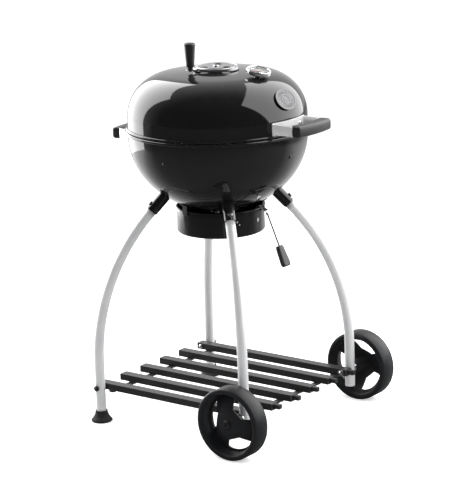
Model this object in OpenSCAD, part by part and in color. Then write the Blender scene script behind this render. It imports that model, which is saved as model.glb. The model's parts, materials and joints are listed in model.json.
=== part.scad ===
// Kettle charcoal grill on a four-legged wheeled stand.
// Z is up from the floor, -Y is the front (lid handle, badge, wheels, air lever), X runs along the
// wheel axles. All sizes are in millimetres.

/* [Kettle] */
// outside radius of the bowl's straight side
bowl_r = 266.5; // [250:0.5:285]
// height of the seam between bowl and lid
seam_z = 885; // [850:1:930]
// sheet steel of the bowl and lid
sheet = 1.6; // [1:0.1:3]
// radius of the rolled bead on the bowl's rim
bowl_bead = 4.6; // [3:0.1:6]
// radius of the rolled bead on the lid's edge
lid_bead = 4.2; // [3:0.1:6]
// gap left between the lid's bead and the bowl's bead
seam_gap = 0.4; // [0.3:0.1:1]
// height of the lid's straight side above the seam
lid_side = 35; // [20:1:60]
// radius of the lid's shoulder
lid_shoulder = 128; // [90:1:160]
// radius of the lid's shallow top
lid_top_r = 1360; // [600:10:2500]

/* [Lid fittings] */
// diameter of the vent disc
vent_d = 136; // [110:1:160]
// direction of the vent's grip from the front, seen from above
vent_grip_at = -113; // [-150:1:-60]
// distance of the thermometer from the lid's axis
thermo_at = 152; // [140:1:170]
// diameter of the thermometer's case
thermo_d = 74; // [60:1:90]
// tilt of the thermometer to the front
thermo_tilt = 12; // [0:1:30]
// height of the badge's centre above the seam
badge_up = 101; // [80:1:120]
// diameter of the badge
badge_d = 86; // [60:1:100]
// diameter of the badge's two studs
stud_d = 4; // [3:0.5:6]

/* [Handles] */
// length of each grip
grip_len = 160; // [130:1:190]
// depth of each grip
grip_deep = 38; // [28:1:45]
// height of each grip
grip_tall = 34; // [26:1:42]
// how far each grip's front bows out
grip_bow = 8; // [3:0.5:14]
// clear space for fingers behind the lid grip, at its middle
finger_gap = 48; // [38:1:60]
// thickness of the chromed straps
strap = 2; // [1.5:0.1:3]
// height of the straps' back plates
strap_tall = 36; // [30:1:36]

/* [Grates] */
// diameter of the cooking grate
grate_d = 508; // [470:1:520]
// wire of the cooking grate's bars
grate_wire = 5; // [3:0.5:7]
// bars of the cooking grate
grate_bars = 25; // [15:2:31]
// wire of the charcoal grate's bars
coal_wire = 6; // [5:0.5:9]
// diameter of the charcoal grate
coal_d = 362; // [320:1:362]

/* [Ash pot and air] */
// outside diameter of the ash pot
pot_d = 264; // [240:1:280]
// height of the ash pot
pot_tall = 78; // [60:1:100]
// how far the lever swings to shut the air slots
lever_swing = 32; // [28:1:36]
// diameter of the sweeper's shaft
shaft_d = 10; // [8:0.5:14]
// running clearance round shafts and axles, on the radius
run = 0.08; // [0.05:0.01:0.1]

/* [Stand] */
// distance of the leg ends from the kettle's axis
leg_reach = 383; // [350:1:410]
// leg tube diameter
leg_d = 30; // [25:0.5:35]
// leg tube wall
leg_wall = 2; // [1.5:0.1:3]
// height where a leg starts to curve in
bend_from = 185; // [150:1:230]
// radius of the leg's curve
bend_r = 674; // [600:1:760]
// length of a leg socket
socket_len = 62; // [50:1:75]
// outside diameter of a leg socket
socket_d = 36; // [34:0.5:40]
// diameter of a rubber foot
foot_d = 64; // [50:1:75]

/* [Wheels and shelf] */
// wheel diameter
wheel_d = 212; // [180:1:230]
// wheel width
wheel_w = 58; // [45:1:65]
// axle diameter
axle_d = 12; // [10:0.5:16]
// width of a shelf slat
slat_w = 30; // [24:1:36]
// height of a shelf slat
slat_h = 20; // [16:1:26]
// how far the slats reach past the legs at each end
slat_over = 16; // [10:1:30]

/* [Hidden] */

enamel = [0.05, 0.05, 0.055];
chromed = [0.82, 0.83, 0.85];
plastic = [0.12, 0.12, 0.125];
alu = [0.76, 0.77, 0.79];
blacksteel = [0.1, 0.1, 0.1];

lid_r = bowl_r - 0.5;
lid_z = seam_z + lid_side;
lid_dx = lid_r - lid_shoulder;
lid_cz = lid_z - sqrt(pow(lid_top_r - lid_shoulder, 2) - lid_dx * lid_dx);
lid_th = atan2(lid_z - lid_cz, lid_dx);
lid_top = lid_cz + lid_top_r;

bowl_top = seam_z - seam_gap - 2 * bowl_bead;
bowl_side = seam_z - 14;
bowl_shoulder = bowl_r - 48.5;
bowl_base_r = bowl_r + 21.5;
bowl_cz = bowl_side + sqrt(pow(bowl_base_r - bowl_shoulder, 2) - 48.5 * 48.5);
bowl_th = atan2(bowl_cz - bowl_side, 48.5);
bowl_low = bowl_cz - bowl_base_r;

pot_r = pot_d / 2;
pot_top = bowl_low + 16.5;
pot_low = pot_top - pot_tall;

wheel_r = wheel_d / 2;
leg_xy = leg_reach / sqrt(2);
wheel_x = leg_xy + leg_d / 2 + 14;
slat_y = leg_xy + slat_over;
slat_x = leg_xy - leg_d / 2 - slat_w / 2 - 0.6;
slat_step = 2 * slat_x / 5;
grip_out = grip_deep + grip_bow;
lid_grip_in = lid_r + finger_gap;
rear_grip_in = bowl_r + finger_gap - 10;
lid_grip_z = seam_z + 27;
rear_grip_z = seam_z - 38;
rear_reach = rear_grip_in + grip_out;
front_reach = leg_xy + wheel_r;
mid_y = (front_reach - rear_reach) / 2;
vent_base = lid_top + 1.2;
thermo_z = lid_cz + sqrt(lid_top_r * lid_top_r - thermo_at * thermo_at);
lever_r = bowl_base_r + 9;
grate_z = seam_z - 30;
coal_z = bowl_low + 72;

function arc(cx, cz, r, a0, a1, n) =
  [for (i = [0:n]) [cx + r * cos(a0 + (a1 - a0) * i / n), cz + r * sin(a0 + (a1 - a0) * i / n)]];
// height of the lid's outside at a distance x from its axis, outside the shoulder's start
function lid_h(x) = x > lid_dx + lid_shoulder * cos(lid_th)
  ? lid_z + sqrt(lid_shoulder * lid_shoulder - pow(x - lid_dx, 2))
  : lid_cz + sqrt(lid_top_r * lid_top_r - x * x);
// radius of the lid's outside at height z, on the shoulder
function lid_w(z) = lid_dx + sqrt(lid_shoulder * lid_shoulder - pow(z - lid_z, 2));
// distance from the axis of a leg's centre line at height z
function leg_at(z) = z < bend_from ? leg_reach
  : leg_reach - bend_r + sqrt(bend_r * bend_r - pow(z - bend_from, 2));

socket_low = 640 + (seam_z - 885);
socket_a = asin((socket_low - bend_from) / bend_r);

// moves what was drawn round the kettle's axis so that the grill's footprint is centred
module place() { translate([0, mid_y, 0]) children(); }
// turns +X out to a direction measured from the front, positive to the right
module out_at(a) { rotate([0, 0, a - 90]) children(); }
// stands a flat outline (distance, height) up in the outward direction, with a thickness across
module fin(w) { rotate([90, 0, 0]) translate([0, 0, -w / 2]) linear_extrude(w) children(); }
module ring(ro, ri, h) { difference() { cylinder(r = ro, h = h, $fn = 72);
  translate([0, 0, -1]) cylinder(r = ri, h = h + 2, $fn = 72); } }

// ---- lid ----
module lid() { color(enamel) place() difference() {
  union() {
    rotate_extrude($fn = 120) polygon(concat([[lid_r, seam_z + lid_bead]],
      arc(lid_dx, lid_z, lid_shoulder, 0, lid_th, 14), arc(0, lid_cz, lid_top_r, lid_th + 1, 90, 4),
      arc(0, lid_cz, lid_top_r - sheet, 90, lid_th + 1, 4),
      arc(lid_dx, lid_z, lid_shoulder - sheet, lid_th, 0, 14), [[lid_r - sheet, seam_z + lid_bead]]));
    translate([0, 0, seam_z + lid_bead]) rotate_extrude($fn = 120)
      translate([lid_r + 1.6, 0]) circle(r = lid_bead, $fn = 24);
  }
  for (i = [0:2]) rotate([0, 0, 120 * i + 30]) translate([38, 0, lid_top - 12])
    cylinder(d = 30, h = 24, $fn = 36);
  translate([0, 0, lid_top - 12]) cylinder(d = 6.2, h = 24, $fn = 24);
  translate([0, -thermo_at, thermo_z]) rotate([thermo_tilt, 0, 0])
    translate([0, 0, -15]) cylinder(d = 10.4, h = 30, $fn = 30);
  for (s = [-1, 1]) translate([s * 46, 0, lid_grip_z]) rotate([90, 0, 0])
    translate([0, 0, 200]) cylinder(d = 6.2, h = 90, $fn = 24);
  badge_at() for (s = [-1, 1]) translate([s * badge_d * 0.28, 0, -30])
    cylinder(d = stud_d + 0.2, h = 40, $fn = 24);
} }
// three spring tabs inside the lid that drop into the bowl and keep the lid in its place
module lid_tabs() { color(chromed) place() for (a = [60:120:300]) out_at(a) fin(24)
  polygon([[lid_r - 5.6, seam_z - 12], [lid_r - 4.4, seam_z - 12], [lid_r - 3.4, seam_z + 6],
    [lid_r - 2.1, seam_z + 10], [lid_r - 2.1, seam_z + 26], [lid_r - 3.3, seam_z + 26],
    [lid_r - 3.3, seam_z + 10], [lid_r - 4.6, seam_z + 6]]); }

// a chromed strap: a curved back plate on the kettle with two arms out to a grip
module strap_shape(r, z, g_in) {
  intersection() {
    translate([0, 0, z - strap_tall / 2]) ring(r + 0.5 + strap, r + 0.5, strap_tall);
    translate([-grip_len / 2 + 2, -r - 20, z - strap_tall / 2]) cube([grip_len - 4, r, strap_tall]);
  }
  y0 = sqrt(pow(r + 0.5 + strap, 2) - pow(grip_len / 2 - 2, 2));
  for (s = [-1, 1]) translate([s * (grip_len / 2 - 2 - strap / 2), 0, z - 15])
    translate([-strap / 2, -g_in - 11, 0]) cube([strap, g_in + 11 - y0 + 1.2, 30]);
}
module grip_shape(z, g_in) {
  r = (pow(grip_len / 2, 2) + grip_bow * grip_bow) / (2 * grip_bow);
  difference() {
    intersection() {
      translate([0, -g_in - grip_out + r, z]) translate([0, 0, -grip_tall / 2])
        cylinder(r = r, h = grip_tall, $fn = 240);
      translate([-grip_len / 2, -g_in - grip_out - 1, z - grip_tall / 2])
        cube([grip_len, grip_out + 1, grip_tall]);
      // the outer edges are rounded over
      translate([0, -g_in, z]) rotate([0, 90, 0])
        translate([0, 0, -grip_len / 2]) linear_extrude(grip_len) union() {
          translate([-grip_tall / 2 + 8, -grip_out]) square([grip_tall - 16, grip_out]);
          translate([-grip_tall / 2, -grip_out + 8]) square([grip_tall, grip_out - 8]);
          for (s = [-1, 1]) translate([s * (grip_tall / 2 - 8), -grip_out + 8]) circle(r = 8, $fn = 32);
        }
    }
    for (s = [-1, 1]) translate([s * (grip_len / 2 - 2 - strap / 2), 0, z - 15.2])
      translate([-strap / 2 - 0.1, -g_in - 11.5, 0]) cube([strap + 0.2, 30, 30.4]);
    // hollow back
    translate([-grip_len / 2 + 14, -g_in - 24, z - grip_tall / 2 + 5])
      cube([grip_len - 28, 30, grip_tall - 10]);
  }
}
// pan-head screws through the kettle's wall into the strap, heads outside
module strap_screws_shape(r, z) {
  for (s = [-1, 1]) translate([s * 46, -sqrt(pow(r + 0.5 + strap, 2) - 46 * 46), z])
    rotate([90, 0, 0]) { translate([0, 0, -16]) cylinder(d = 6, h = 18, $fn = 24);
      translate([0, 0, 0.9]) cylinder(d = 12, h = 3.2, $fn = 32);
      translate([0, 0, -14.5]) cylinder(d = 11, h = 4.5, $fn = 32); }
}
module lid_strap() { color(chromed) place() difference() { strap_shape(lid_r, lid_grip_z, lid_grip_in);
  for (s = [-1, 1]) translate([s * 46, 0, lid_grip_z]) rotate([90, 0, 0])
    translate([0, 0, 200]) cylinder(d = 6.2, h = 90, $fn = 24); } }
module lid_strap_screws() { color(chromed) place() strap_screws_shape(lid_r, lid_grip_z); }
module lid_grip() { color(plastic) place() grip_shape(lid_grip_z, lid_grip_in); }
module badge_at() { a = asin((badge_up - lid_side) / lid_shoulder);
  translate([0, -lid_w(seam_z + badge_up), seam_z + badge_up]) rotate([90 - a, 0, 0]) children(); }
module badge() { color(chromed) place() badge_at() translate([0, 0, 1.2]) difference() {
  cylinder(d = badge_d, h = 2, $fn = 72);
  translate([0, 0, 1.4]) difference() { cylinder(d = badge_d * 0.84, h = 2, $fn = 72);
    translate([0, 0, -1]) cylinder(d = badge_d * 0.5, h = 4, $fn = 72); } } }
module badge_studs() { color(chromed) place() badge_at() for (s = [-1, 1])
  translate([s * badge_d * 0.28, 0, -11]) { cylinder(d = stud_d, h = 12, $fn = 24);
    cylinder(d = 10, h = 2, $fn = 30); } }

// ---- vent ----
module vent_disc() { color(chromed) place() translate([0, 0, vent_base]) difference() {
  union() {
    difference() { cylinder(d = vent_d, h = 7.5, $fn = 96);
      translate([0, 0, -1]) cylinder(d = vent_d - 5, h = 7, $fn = 96); }
    out_at(vent_grip_at) translate([vent_d / 2 - 6, -9, 4]) cube([34, 18, 2.5]);
  }
  for (i = [0:2]) rotate([0, 0, 120 * i + 30]) translate([38, 0, -2]) cylinder(d = 26, h = 12, $fn = 36);
  translate([0, 0, -1]) cylinder(d = 6 + 2 * run, h = 12, $fn = 24);
  difference() { translate([0, 0, 6.9]) cylinder(d = vent_d - 12, h = 2, $fn = 72);
    translate([0, 0, 5]) cylinder(d = vent_d - 18, h = 4, $fn = 72); }
  out_at(vent_grip_at) translate([vent_d / 2 + 18, 0, 0]) cylinder(d = 5.2, h = 12, $fn = 24);
} }
module vent_grip() { color(plastic) place() translate([0, 0, vent_base]) out_at(vent_grip_at)
  translate([vent_d / 2 + 18, 0, 0]) { translate([0, 0, 0.8]) cylinder(d = 5, h = 12, $fn = 24);
    translate([0, 0, 0.8]) cylinder(d = 10, h = 2.7, $fn = 24);
    translate([0, 0, 7]) cylinder(d = 16, h = 7.5, $fn = 36);
    translate([0, 0, 14]) cylinder(d1 = 23, d2 = 32, h = 62, $fn = 48);
    translate([0, 0, 76]) cylinder(d1 = 34, d2 = 34, h = 4, $fn = 48);
    translate([0, 0, 80]) cylinder(d1 = 34, d2 = 25, h = 4.5, $fn = 48); } }
module vent_pin() { color(chromed) place() { translate([0, 0, lid_top - 9]) cylinder(d = 6, h = 18, $fn = 24);
  translate([0, 0, vent_base + 8]) cylinder(d = 16, h = 3, $fn = 36);
  translate([0, 0, lid_top - 9]) cylinder(d = 12, h = 5, $fn = 36); } }

// ---- thermometer ----
module thermo_at_dial() { translate([0, -thermo_at, thermo_z]) rotate([thermo_tilt, 0, 0]) children(); }
module thermo_case() { color(chromed) place() thermo_at_dial() difference() {
  union() { translate([0, 0, 8]) cylinder(d = thermo_d, h = 12, $fn = 72);
    translate([0, 0, 5.5]) cylinder(d1 = thermo_d - 22, d2 = thermo_d - 4, h = 2.6, $fn = 72);
    translate([0, 0, 0.9]) cylinder(d = 22, h = 5, $fn = 48); }
  translate([0, 0, 11]) cylinder(d = thermo_d - 8, h = 20, $fn = 72);
  translate([0, 0, -3]) cylinder(d = 8.2, h = 30, $fn = 30);
} }
module thermo_dial() { color([0.93, 0.93, 0.92]) place() thermo_at_dial()
  translate([0, 0, 11.3]) difference() {
  cylinder(d = thermo_d - 8.6, h = 0.8, $fn = 72);
  translate([0, 0, -1]) cylinder(d = 8.8, h = 4, $fn = 30); } }
module thermo_needle() { color([0.75, 0.1, 0.05]) place() thermo_at_dial() {
  translate([0, 0, 12.7]) rotate([0, 0, 130]) difference() {
    union() { cylinder(d = 8, h = 1, $fn = 30); translate([-8, -1, 0]) cube([34, 2, 1]); }
    translate([0, 0, -1]) cylinder(d = 1.9, h = 3, $fn = 20); } } }
module thermo_glass() { color([0.8, 0.88, 0.9]) place() thermo_at_dial() translate([0, 0, 15.5])
  difference() {
    intersection() { translate([0, 0, -96]) sphere(r = 100, $fn = 120);
      translate([0, 0, 0]) cylinder(d = thermo_d - 8.6, h = 20, $fn = 72); }
    intersection() { translate([0, 0, -97.6]) sphere(r = 100, $fn = 120);
      translate([0, 0, -30]) cylinder(d = thermo_d - 12, h = 60, $fn = 72); }
  } }
module thermo_stem() { color(chromed) place() thermo_at_dial() { translate([0, 0, -62])
    cylinder(d = 8, h = 74.2, $fn = 30);
  translate([0, 0, 12]) cylinder(d = 1.8, h = 2, $fn = 20); } }
module thermo_nut() { color(chromed) place() thermo_at_dial() translate([0, 0, -9]) difference() {
  cylinder(d = 18, h = 5, $fn = 6); translate([0, 0, -1]) cylinder(d = 8.2, h = 7, $fn = 30); } }

// ---- bowl ----
module bowl() { color(enamel) place() difference() {
  union() {
    rotate_extrude($fn = 120) polygon(concat([[bowl_r - sheet, bowl_top + bowl_bead],
      [bowl_r, bowl_top + bowl_bead]],
      arc(48.5, bowl_side, bowl_shoulder, 0, -bowl_th, 12),
      arc(0, bowl_cz, bowl_base_r, -bowl_th - 3, -90, 12),
      arc(0, bowl_cz, bowl_base_r - sheet, -90, -bowl_th - 3, 12),
      arc(48.5, bowl_side, bowl_shoulder - sheet, -bowl_th, 0, 12)));
    translate([0, 0, bowl_top + bowl_bead]) rotate_extrude($fn = 120)
      translate([bowl_r + bowl_bead - 1, 0]) circle(r = bowl_bead, $fn = 24);
  }
  // three air slots in the bottom
  for (i = [0:2]) out_at(120 * i + 60 - 12) translate([0, 0, bowl_low - 10]) rotate_extrude(angle = 24,
    $fn = 96) translate([48, 0]) square([52, 60]);
  translate([0, 0, bowl_low - 10]) cylinder(r = shaft_d / 2 + run, h = 30, $fn = 36);
  for (s = [-1, 1]) translate([s * 46, 0, rear_grip_z]) rotate([-90, 0, 0])
    translate([0, 0, 200]) cylinder(d = 6.2, h = 90, $fn = 24);
} }
function bowl_w(z) = 48.5 + sqrt(bowl_shoulder * bowl_shoulder - pow(z - bowl_side, 2));
// turns +Z out along the bowl's side at height z, a little off the enamel
module on_bowl(z, gap) { a = asin((bowl_side - z) / bowl_shoulder);
  translate([48.5 + (bowl_shoulder + gap) * cos(a), 0, bowl_side - (bowl_shoulder + gap) * sin(a)])
    rotate([0, 90 + a, 0]) children(); }
module bowl_rivets() { color(blacksteel) place() for (a = [0:90:270]) out_at(a)
  on_bowl(seam_z - 67, 0.3) cylinder(d1 = 10, d2 = 6, h = 2.4, $fn = 30); }

module rear_strap() { color(chromed) place() rotate([0, 0, 180]) difference() {
  strap_shape(bowl_r, rear_grip_z, rear_grip_in);
  for (s = [-1, 1]) translate([s * 46, 0, rear_grip_z]) rotate([90, 0, 0])
    translate([0, 0, 200]) cylinder(d = 6.2, h = 90, $fn = 24); } }
module rear_strap_screws() { color(chromed) place() rotate([0, 0, 180])
  strap_screws_shape(bowl_r, rear_grip_z); }
module rear_grip() { color(plastic) place() rotate([0, 0, 180]) grip_shape(rear_grip_z, rear_grip_in); }

// brackets inside the bowl: a tab under each grate
module grate_brackets() { color(blacksteel) place() for (a = [45:90:315]) out_at(a) {
  r0 = bowl_w(grate_z - 12) - sheet - 0.35;
  z0 = grate_z - grate_wire / 2 - 0.65;
  fin(16) polygon([[r0 - 22, z0 - 3], [r0 - 22, z0], [r0 - 1, z0], [r0 - 3.2, grate_z - 26],
    [r0 - 6.2, grate_z - 26], [r0 - 4, z0 - 3]]);
  z1 = coal_z - coal_wire / 2 - 0.65;
  r1 = sqrt(pow(bowl_base_r - sheet, 2) - pow(bowl_cz - z1 + 3, 2)) - 0.6;
  fin(16) polygon([[r1 - 30, z1 - 3], [r1 - 30, z1], [r1, z1], [r1, z1 - 3]]);
} }
// a round grate: a flat band with bars ending in it
module grate(d, wire, n, z) {
  translate([0, 0, z - wire / 2 - 0.3]) difference() { cylinder(d = d, h = wire + 0.6, $fn = 120);
    translate([0, 0, -1]) cylinder(d = d - 2 * wire, h = wire + 3, $fn = 120); }
  for (i = [0:n - 1]) { y = (i - (n - 1) / 2) * d / (n + 1);
    h = sqrt(pow(d / 2 - wire / 2, 2) - y * y);
    translate([-h, y, z]) rotate([0, 90, 0]) cylinder(d = wire, h = 2 * h, $fn = 24); }
}
module cooking_grate() { color(chromed) place() { grate(grate_d, grate_wire, grate_bars, grate_z);
  for (s = [-1, 1]) { h = sqrt(pow(grate_d / 2 - 3, 2) - 140 * 140) - 2;
    translate([s * 140 - 2, -h, grate_z + 1]) cube([4, 2 * h, 4]); } } }
module charcoal_grate() { color(blacksteel) place() grate(coal_d, coal_wire, 15, coal_z); }

// ---- ash sweeper and its lever ----
module sweeper() { color(blacksteel) place() difference() {
  intersection() {
    translate([0, 0, bowl_cz]) difference() { sphere(r = bowl_base_r - sheet - 0.5, $fn = 180);
      sphere(r = bowl_base_r - sheet - 2.5, $fn = 180); }
    translate([0, 0, bowl_low - 1]) union() { cylinder(d = 60, h = 40, $fn = 48);
      for (i = [0:2]) out_at(120 * i + 60 - 14 + lever_swing) rotate_extrude(angle = 28, $fn = 96)
        square([106, 45]); }
  }
  translate([0, 0, bowl_low - 10]) cylinder(r = shaft_d / 2, h = 60, $fn = 36);
} }
module sweeper_shaft() { color(blacksteel) place() {
  translate([0, 0, bowl_cz - lever_r - 14]) cylinder(d = shaft_d, h = lever_r - bowl_base_r + 14 + 9,
    $fn = 36);
  translate([0, 0, bowl_low + sheet + 3.6]) cylinder(d = 24, h = 4, $fn = 36); } }
module sweeper_nut() { color(chromed) place() translate([0, 0, bowl_cz - lever_r - 11.2]) difference() {
  cylinder(d = 18, h = 7, $fn = 6); translate([0, 0, -1]) cylinder(d = shaft_d + 0.1, h = 9, $fn = 36); } }
module lever_arm() { color(chromed) place() out_at(0) difference() {
  union() {
    rad_a = acos(146 / lever_r); rad_b = acos(13 / lever_r);
    fin(16) polygon(concat(arc(0, bowl_cz, lever_r, -rad_b, -rad_a, 10), [[171, seam_z - 235.5]],
      [[171, seam_z - 238.5]], arc(0, bowl_cz, lever_r + 3, -rad_a - 0.3, -rad_b, 10)));
    translate([0, 0, bowl_cz - lever_r - 3]) cylinder(d = 34, h = 3, $fn = 48);
  }
  translate([0, 0, bowl_cz - lever_r - 8]) cylinder(d = shaft_d, h = 20, $fn = 36);
} }
rod_x0 = 168; rod_z0 = seam_z - 234;
rod_x1 = 216; rod_z1 = seam_z - 346;
rod_tilt = atan2(rod_x1 - rod_x0, rod_z0 - rod_z1);
module rod_frame() { out_at(0) translate([rod_x0, 0, rod_z0]) rotate([0, 180 - rod_tilt, 0]) children(); }
module lever_rod() { color(chromed) place() rod_frame() { translate([0, 0, 7.6])
    cylinder(d = 5, h = 123, $fn = 24);
  translate([0, 0, 7.6]) cylinder(d = 9, h = 8, $fn = 24); } }
module lever_grip() { color(plastic) place() rod_frame() translate([0, 0, 112]) difference() {
  rotate([90, 0, 90]) translate([0, 0, -8]) linear_extrude(16)
    polygon([[-9, 0], [9, 0], [12, 8], [16, 52], [15, 60], [10, 65], [-10, 65], [-15, 60], [-16, 52],
      [-12, 8]]);
  translate([0, 0, -1]) cylinder(d = 5.1, h = 21, $fn = 24);
} }

// ---- ash pot ----
module ash_pot() { color(enamel) place() {
  rotate_extrude($fn = 96) polygon(concat([[0, pot_low]], arc(pot_r - 9, pot_low + 9, 9, -90, 0, 6),
    [[pot_r, pot_top]], [[pot_r - 1.5, pot_top]], arc(pot_r - 9, pot_low + 9, 7.5, 0, -90, 6),
    [[0, pot_low + 1.5]]));
  translate([0, 0, pot_top - 2]) rotate_extrude($fn = 96) translate([pot_r - 0.2, 0])
    circle(r = 2, $fn = 16);
} }
module pot_clips() { color(blacksteel) place() for (i = [0:2]) out_at(120 * i + 17) {
  zb = bowl_cz - sqrt(bowl_base_r * bowl_base_r - pow(pot_r + 10, 2));
  fin(18) polygon([[pot_r + 2.4, pot_top - 12], [pot_r + 5, pot_top - 12], [pot_r + 5, zb - 6],
    [pot_r + 16, zb + 1], [pot_r + 13, zb + 1.5], [pot_r + 2.4, zb - 4.5]]);
} }

// ---- legs ----
module socket_frame(a) { out_at(a) translate([leg_at(socket_low), 0, socket_low])
  rotate([0, -socket_a, 0]) children(); }
module bowl_ball(g) { translate([0, 0, bowl_cz]) sphere(r = bowl_base_r + g, $fn = 180); }
module leg_sockets() { color(enamel) place() for (a = [45:90:315]) difference() {
  socket_frame(a) difference() {
    translate([0, 0, 1]) cylinder(d = socket_d, h = socket_len + 7, $fn = 48);
    translate([0, 0, 0]) cylinder(d = leg_d - 0.4, h = socket_len - 9, $fn = 48);
    translate([8, 0, 16]) rotate([0, 90, 0]) cylinder(d = 8.4, h = 30, $fn = 24);
  }
  bowl_ball(0.35);
} }
module socket_bolts() { color(chromed) place() for (a = [45:90:315]) socket_frame(a)
  translate([0, 0, 16]) rotate([0, 90, 0]) {
    translate([0, 0, 8]) cylinder(d = 8, h = socket_d / 2 - 7, $fn = 24);
    translate([0, 0, socket_d / 2 + 0.35]) cylinder(d = 14, h = 5, $fn = 32); } }
// a leg: a straight lower tube, a curved middle and a straight end inside the socket
module leg_shape(a, z0) { out_at(a) difference() {
  union() {
    translate([leg_reach, 0, z0]) cylinder(d = leg_d, h = bend_from - z0, $fn = 48);
    translate([leg_reach - bend_r, 0, bend_from]) rotate([90, 0, 0]) rotate_extrude(angle = socket_a,
      $fn = 180) translate([bend_r, 0]) circle(d = leg_d, $fn = 48);
    translate([leg_at(socket_low), 0, socket_low]) rotate([0, -socket_a, 0])
      translate([0, 0, -5]) cylinder(d = leg_d - 0.6, h = socket_len - 11, $fn = 48);
  }
  translate([leg_reach, 0, z0 - 1]) cylinder(d = leg_d - 2 * leg_wall, h = bend_from - z0 + 1, $fn = 48);
  translate([leg_reach - bend_r, 0, bend_from]) rotate([90, 0, 0]) rotate_extrude(angle = socket_a,
    $fn = 180) translate([bend_r, 0]) circle(d = leg_d - 2 * leg_wall, $fn = 48);
  translate([leg_at(socket_low), 0, socket_low]) rotate([0, -socket_a, 0])
    translate([0, 0, -6]) cylinder(d = leg_d - 2 * leg_wall - 1.2, h = socket_len + 6, $fn = 48);
  socket_hole();
} }
module socket_hole() { translate([leg_at(socket_low), 0, socket_low]) rotate([0, -socket_a, 0])
  translate([0, 0, 16]) rotate([0, 90, 0]) cylinder(d = 8.4, h = 30, $fn = 24); }
// holes through a leg for the shelf bolt or the axle, which run along X
module cross_hole(x, y, d) { translate([x - 25, y, wheel_r]) rotate([0, 90, 0])
  cylinder(d = d, h = 50, $fn = 36); }
module leg_front_left() { color(alu) place() difference() { leg_shape(-45, 54);
  cross_hole(-leg_xy, -leg_xy, axle_d + 0.1); } }
module leg_front_right() { color(alu) place() difference() { leg_shape(45, 54);
  cross_hole(leg_xy, -leg_xy, axle_d + 0.1); } }
module leg_rear_left() { color(alu) place() difference() { leg_shape(-135, 10);
  cross_hole(-leg_xy, leg_xy, 8.1); } }
module leg_rear_right() { color(alu) place() difference() { leg_shape(135, 10);
  cross_hole(leg_xy, leg_xy, 8.1); } }
module foot_shape(s) { translate([s * leg_xy, leg_xy, 0]) difference() {
  rotate_extrude($fn = 72) polygon([[0, 0], [foot_d / 2 - 2, 0], [foot_d / 2, 2], [foot_d / 2, 5],
    [leg_d / 2 + 8, 17], [leg_d / 2 + 4.5, 26], [leg_d / 2 + 3.5, 34], [0, 34]]);
  translate([0, 0, 9.7]) cylinder(d = leg_d + 0.3, h = 40, $fn = 48);
} }
module foot_left() { color([0.05, 0.05, 0.05]) place() foot_shape(-1); }
module foot_right() { color([0.05, 0.05, 0.05]) place() foot_shape(1); }

// ---- shelf ----
module slat(i) { x = -slat_x + (i - 1) * slat_step;
  translate([x, -slat_y, wheel_r]) rotate([-90, 0, 0]) linear_extrude(2 * slat_y) difference() {
    square([slat_w, slat_h], center = true); square([slat_w - 3, slat_h - 3], center = true); } }
module outer_slat(i, s) { difference() { slat(i);
  translate([s * slat_x - 30, -leg_xy, wheel_r]) rotate([0, 90, 0]) cylinder(d = axle_d + 0.1, h = 60,
    $fn = 36);
  translate([s * slat_x - 30, leg_xy, wheel_r]) rotate([0, 90, 0]) cylinder(d = 8.1, h = 60, $fn = 24);
} }
module slat_1() { color(blacksteel) place() outer_slat(1, -1); }
module slat_2() { color(blacksteel) place() slat(2); }
module slat_3() { color(blacksteel) place() slat(3); }
module slat_4() { color(blacksteel) place() slat(4); }
module slat_5() { color(blacksteel) place() slat(5); }
module slat_6() { color(blacksteel) place() outer_slat(6, 1); }
module slat_plugs() { color(plastic) place() for (i = [1:6]) { x = -slat_x + (i - 1) * slat_step;
  iw = slat_w - 3.1; ih = slat_h - 3.1;
  for (s = [-1, 1]) translate([x - iw / 2, s < 0 ? -slat_y : slat_y - 6, wheel_r - ih / 2])
    cube([iw, 6, ih]);
  translate([x - 7, -slat_y - 21, wheel_r - 5]) cube([14, 21.5, 13]); } }
module crossbar(y) { translate([-slat_x - slat_w / 2, y - 8, wheel_r - slat_h / 2 - 6.3])
  cube([2 * slat_x + slat_w, 16, 6]); }
module crossbar_holes(y) { for (i = [1:6]) translate([-slat_x + (i - 1) * slat_step, y, wheel_r - 30])
  cylinder(d = 4.2, h = 30, $fn = 20); }
bar_front = -leg_xy + 28;
bar_rear = leg_xy - 28;
module crossbar_front() { color(blacksteel) place() difference() { crossbar(bar_front);
  crossbar_holes(bar_front); } }
module crossbar_rear() { color(blacksteel) place() difference() { crossbar(bar_rear);
  crossbar_holes(bar_rear); } }
module shelf_screws() { color(chromed) place() for (y = [bar_front, bar_rear]) for (i = [1:6])
  translate([-slat_x + (i - 1) * slat_step, y, wheel_r - slat_h / 2 - 9.6]) {
    cylinder(d = 8, h = 3, $fn = 24); cylinder(d = 4, h = 9.5, $fn = 20); } }
module shelf_bolts() { color(chromed) place() for (s = [-1, 1]) translate([0, leg_xy, wheel_r])
  rotate([0, 90, 0]) {
    translate([0, 0, s > 0 ? slat_x - slat_w / 2 - 6 : -leg_xy - leg_d / 2 - 3])
      cylinder(d = 8, h = leg_xy - slat_x + slat_w / 2 + leg_d / 2 + 9, $fn = 24);
    translate([0, 0, s > 0 ? slat_x - slat_w / 2 - 5.4 : -slat_x + slat_w / 2 + 0.4])
      cylinder(d = 13, h = 5, $fn = 32); } }
module bolt_caps() { color(plastic) place() for (s = [-1, 1]) translate([0, leg_xy, wheel_r])
  rotate([0, 90, 0]) translate([0, 0, s > 0 ? leg_xy + leg_d / 2 + 0.4 : -leg_xy - leg_d / 2 - 6.4])
    difference() { cylinder(d = 17, h = 6, $fn = 36);
      translate([0, 0, s > 0 ? -1 : 2.4]) cylinder(d = 8.1, h = 4.6, $fn = 24); } }

// ---- wheels ----
// the web is a dome that rises to the hub; dome_z is where its sphere's top would be
dome_r = 126;
dome_z = wheel_w - 5.4;
web = 4;
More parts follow.
